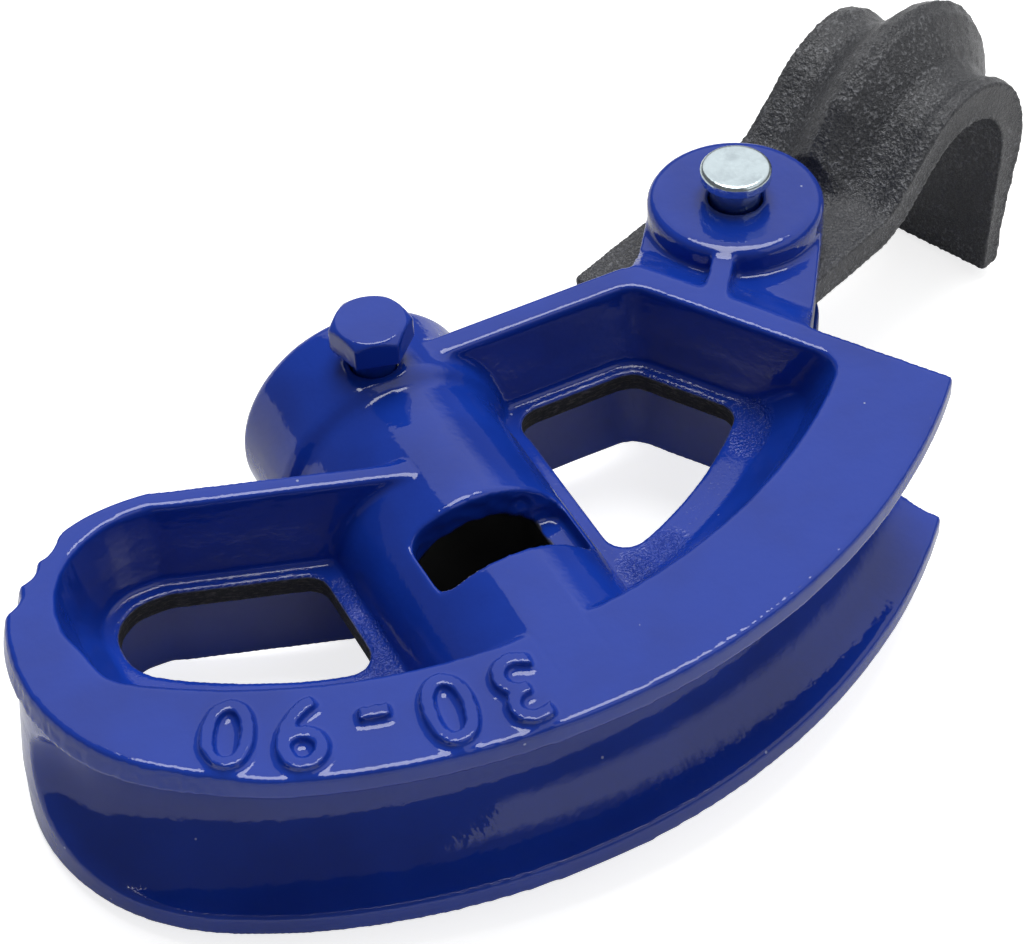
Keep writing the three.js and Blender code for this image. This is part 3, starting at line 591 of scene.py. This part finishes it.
def blue_enamel(name, with_raw_casting_and_bore_shade=True):
    """Gloss enamel from the spray gun: orange peel, clouds and specks of dust."""
    material, shader = finish(name, enamel_blue, enamel_gloss)
    tree = material.node_tree
    place = add(tree, "TexCoord").outputs["Object"]
    clouds = speckle(tree, place, cloud_scale, detail=3)
    colour = blend(tree, remap(tree, clouds, *colour_clouds), enamel_blue, enamel_deep)
    dust_cells = add(tree, "TexVoronoi", {"Vector": place, "Scale": dust_scale})
    seldom = add(tree, "SeparateColor", {"Color": dust_cells.outputs["Color"]})
    dust_share = sums(tree, "GREATER_THAN", seldom.outputs[0], dust_rarity)
    dust_size = remap(tree, dust_cells.outputs["Distance"], *dust_sizes, 1.0, 0.0)
    dust = sums(tree, "MULTIPLY", dust_share, dust_size)
    colour = blend(tree, dust, colour, enamel_pale)
    peel = speckle(tree, place, peel_scale, detail=2)
    fine_peel = speckle(tree, place, fine_peel_scale, detail=1)
    height = sums(tree, "MULTIPLY", peel, peel_height)
    height = sums(tree, "MULTIPLY_ADD", fine_peel, fine_peel_height, height)
    height = sums(tree, "MULTIPLY_ADD", dust, dust_height, height)
    rough = remap(tree, clouds, *gloss_clouds, enamel_gloss, enamel_dullest)
    # Cut walls, coarse sand, and the painted shade in the bore
    if with_raw_casting_and_bore_shade:
        colour, rough, height = raw_casting_and_bore_shade(tree, place, colour, rough, height)
    joined(tree, shader, colour, rough, height)
    return material


shoe.data.materials.append(blue_enamel("blue_enamel"))
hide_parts("bending_shoe")
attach(shoe, "shoe")


# Pipe hook
# A black iron casting: hub and arm between the ears, then a saddle over the pipe and a leg down beside it.
# Its sand-cast skin is left grainy under one thin coat of black.
hook_grain_size = 0.5 * MM
hook_edge_rounds = 3
hook_sand_length = 1.3 * MM
hook_sand_height = 0.1 * MM
hook_lump_length = 7 * MM
hook_lump_height = 0.14 * MM
hook_broad_rounds = 60
hook_crest_share = 0.8
hook_crest_cap = 0.4 * MM
hook_free_ring = (17 * MM, 22 * MM)


def pipe_hook():
    """The hook with its sandy skin, left true where it turns between the ears."""
    hook = copied("pipe_hook", "hook_casting")
    recast(hook, hook_grain_size)
    softened(hook, hook_edge_rounds)
    points = points_of(hook)
    normals = normals_of(hook)
    # Crests stand a little prouder and valleys lie deeper than a broad average of the form
    softened(hook, hook_broad_rounds)
    crests = np.sum((points - points_of(hook)) * normals, axis=1) * hook_crest_share
    crests = np.clip(crests, -hook_crest_cap, hook_crest_cap)
    sand = wave_heights(points, hook_sand_length, seed=4) * hook_sand_height
    lumps = wave_heights(points, hook_lump_length, seed=5) * hook_lump_height
    from_pivot = np.hypot(points[:, 0] - pivot.x, points[:, 1] - pivot.y)
    free = blurred_step(from_pivot, *hook_free_ring)
    heights = (crests + sand + lumps - hook_sand_height - hook_lump_height) * free
    move_points(hook, points + normals * heights[:, None])
    boxed(hook)
    return hook


iron_black = (0.045, 0.047, 0.053)
iron_bare = (0.20, 0.205, 0.22)
iron_roughness = 0.5
iron_cloud_scale = 60
sand_scale = 1400
sand_relief = 0.5 * MM
fine_sand_scale = 3000
fine_sand_relief = 0.1 * MM
sand_roughness = 0.6
worn_sand = (0.5, 0.7)
worn_clouds = (0.3, 0.6)
sand_glints = (0.35, 0.65)
iron_gloss_range = (0.2, 0.36)


def black_iron():
    """Black coat on sand-cast iron, with its high grains worn bare."""
    material, shader = finish("black_iron", iron_black, iron_roughness)
    tree = material.node_tree
    place = add(tree, "TexCoord").outputs["Object"]
    clouds = speckle(tree, place, iron_cloud_scale, detail=3)
    sand = speckle(tree, place, sand_scale, detail=3, roughness=sand_roughness)
    fine_sand = speckle(tree, place, fine_sand_scale, detail=2, roughness=sand_roughness)
    worn = sums(tree, "MULTIPLY", remap(tree, sand, *worn_sand), remap(tree, clouds, *worn_clouds))
    colour = blend(tree, worn, iron_black, iron_bare)
    rough = remap(tree, fine_sand, *sand_glints, *iron_gloss_range)
    height = sums(tree, "MULTIPLY", sand, sand_relief)
    height = sums(tree, "MULTIPLY_ADD", fine_sand, fine_sand_relief, height)
    joined(tree, shader, colour, rough, height)
    return material


hook = pipe_hook()
hook.data.materials.append(black_iron())
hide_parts("pipe_hook")
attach(hook, "hook")

# Hinge pin
# A zinc-plated steel pin with an upset flat head.
# It drops through both ears and the hook, and the split pin keeps it there.
pin_grain_size = 0.28 * MM
pin_radius = 4.6 * MM
pin_head_radius = 6.5 * MM
pin_edge_rounds = 3
zinc_colour = (0.63, 0.73, 0.77)
zinc_dull = (0.50, 0.58, 0.62)
zinc_roughness = 0.18
zinc_cloud_scale = 220
zinc_cloud_roughness = 0.6
zinc_clouds = (0.4, 0.75)
zinc_cloud_relief = 0.08 * MM
zinc_fine_scale = 1500
zinc_glints = (0.3, 0.7)
zinc_fine_relief = 0.006 * MM
zinc_gloss_range = (0.14, 0.26)
turned_reach = 0.12 * MM
axis_gap = 0.1 * MM


def rounded(node, name, size, rounds, radii):
    """A small part with its edges broken, and its round surfaces truly round."""
    piece = copied(node, name)
    recast(piece, size)
    softened(piece, rounds)
    points = points_of(piece)
    away = points[:, :2] - np.array(pivot[:2])
    length = np.maximum(np.hypot(away[:, 0], away[:, 1]), axis_gap)
    for radius in radii:
        share = near(length - radius, turned_reach)
        points[:, :2] += away * (share * (radius / length - 1))[:, None]
    move_points(piece, points)
    boxed(piece)
    return piece


def bright_zinc():
    """Bright zinc plate with soft dull clouds."""
    material, shader = finish("bright_zinc", zinc_colour, zinc_roughness, metallic=1.0)
    tree = material.node_tree
    place = add(tree, "TexCoord").outputs["Object"]
    clouds = speckle(tree, place, zinc_cloud_scale, detail=4, roughness=zinc_cloud_roughness)
    fine = speckle(tree, place, zinc_fine_scale, detail=3)
    colour = blend(tree, remap(tree, clouds, *zinc_clouds), zinc_colour, zinc_dull)
    rough = remap(tree, fine, *zinc_glints, *zinc_gloss_range)
    height = sums(tree, "MULTIPLY", clouds, zinc_cloud_relief)
    height = sums(tree, "MULTIPLY_ADD", fine, zinc_fine_relief, height)
    joined(tree, shader, colour, rough, height)
    return material


zinc = bright_zinc()
pin = rounded("hinge_pin", "pin_turned", pin_grain_size, pin_edge_rounds, (pin_radius, pin_head_radius))
pin.data.materials.append(zinc)
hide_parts("hinge_pin")
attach(pin, "pin")

# Split pin
# Soft zinc-plated wire, folded to an eye.
# It is pushed through the pin's foot, and its ends are spread behind it.
split_pin_grain_size = 0.25 * MM
split_pin_edge_rounds = 4
wire = rounded("split_pin", "split_pin_wire", split_pin_grain_size, split_pin_edge_rounds, ())
wire.data.materials.append(zinc)
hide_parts("split_pin")
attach(wire, "pin")

# Clamp screw
# A steel screw with a hexagon head, painted over with the shoe.
# It passes through the collar and grips the handle.
screw_grain_size = 0.3 * MM
screw_edge_rounds = 5
screw = rounded("clamp_screw", "screw_painted", screw_grain_size, screw_edge_rounds, ())
screw.data.materials.append(blue_enamel("screw_enamel", with_raw_casting_and_bore_shade=False))
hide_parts("clamp_screw")
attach(screw, "screw")


# Table
# Flat white matt paper under the bender, without an edge in view.
# The casting lies a little tilted on it, on its heel, its collar and the hook's leg.
table_slope_x = -0.0593
table_slope_y = 0.0456
table_size = 12.0
table_glow = 0.78
table_sheen = 0.08
table_white = 0.7
table_top = min(
    float(np.min(points[:, 2] - table_slope_x * points[:, 0] - table_slope_y * points[:, 1]))
    for points in (points_of(shoe), points_of(hook))
)


def table():
    """The table top, one flat face."""
    half = table_size / 2
    corners = [(-half, -half), (half, -half), (half, half), (-half, half)]
    mesh = bpy.data.meshes.new("table")
    mesh.from_pydata(
        [(x, y, table_top + table_slope_x * x + table_slope_y * y) for x, y in corners],
        [],
        [(0, 1, 2, 3)],
    )
    top = bpy.data.objects.new("table", mesh)
    bpy.context.scene.collection.objects.link(top)
    return top


def white_paper():
    """White matt paper. Its glow lights nothing: the camera sees it, and mirrors see a little."""
    material = bpy.data.materials.new("white_paper")
    material.use_nodes = True
    tree = material.node_tree
    tree.nodes.clear()
    paper = add(tree, "BsdfDiffuse", {"Color": (table_white, table_white, table_white, 1)}).outputs[0]
    rays = add(tree, "LightPath").outputs
    mirrored = sums(tree, "MAXIMUM", rays["Is Glossy Ray"], rays["Is Transmission Ray"])
    strength = sums(tree, "MULTIPLY", mirrored, table_sheen)
    strength = sums(tree, "MULTIPLY_ADD", rays["Is Camera Ray"], table_glow, strength)
    glow = add(tree, "Emission", {"Strength": strength}).outputs[0]
    both = add(tree, "AddShader", {0: paper, 1: glow}).outputs[0]
    add(tree, "OutputMaterial", {"Surface": both})
    return material


floor = table()
floor.data.materials.append(white_paper())

# Light
# A white studio wall stands behind the bender and to its right, the room on the left is dim,
# and one soft round light hangs overhead.
wall_bright = 1.0
room_dim = 0.16
wall_side = (0.996, 0.087, 0.0)
wall_foot = 0.42
wall_top = 0.88
wall_side_blur = 0.012
wall_foot_blur = 0.12
wall_top_blur = 0.05
overhead_light = 2.15
overhead_spread = math.radians(36)
overhead_tilt = math.radians(15)
overhead_side = math.radians(10)

studio = bpy.data.worlds.new("studio")
bpy.context.scene.world = studio
studio.use_nodes = True
tree = studio.node_tree
direction = add(tree, "TexCoord").outputs["Generated"]
beside = add(tree, "VectorMath", {0: direction, 1: wall_side}, operation="DOT_PRODUCT").outputs["Value"]
right_share = remap(tree, beside, -wall_side_blur, wall_side_blur)
level = add(tree, "SeparateXYZ", {0: direction}).outputs["Z"]
low_share = remap(tree, level, wall_top - wall_top_blur, wall_top + wall_top_blur, 1.0, 0.0)
high_share = remap(tree, level, wall_foot - wall_foot_blur, wall_foot + wall_foot_blur)
wall_share = sums(tree, "MULTIPLY", right_share, sums(tree, "MULTIPLY", low_share, high_share))
strength = sums(tree, "MULTIPLY_ADD", wall_share, wall_bright - room_dim, room_dim)
background = tree.nodes["Background"]
background.inputs["Color"].default_value = (1, 1, 1, 1)
tree.links.new(strength, background.inputs["Strength"])

lamp = bpy.data.lights.new("overhead", "SUN")
lamp.energy = overhead_light
lamp.angle = overhead_spread
overhead = bpy.data.objects.new("overhead", lamp)
overhead_from = Matrix.Rotation(camera_azimuth - overhead_side, 3, "Z") @ Vector((
    0,
    math.sin(overhead_tilt),
    math.cos(overhead_tilt),
))
overhead.rotation_euler = overhead_from.to_track_quat("Z", "Y").to_euler()
bpy.context.scene.collection.objects.link(overhead)

bpy.context.scene.view_settings.view_transform = "Standard"
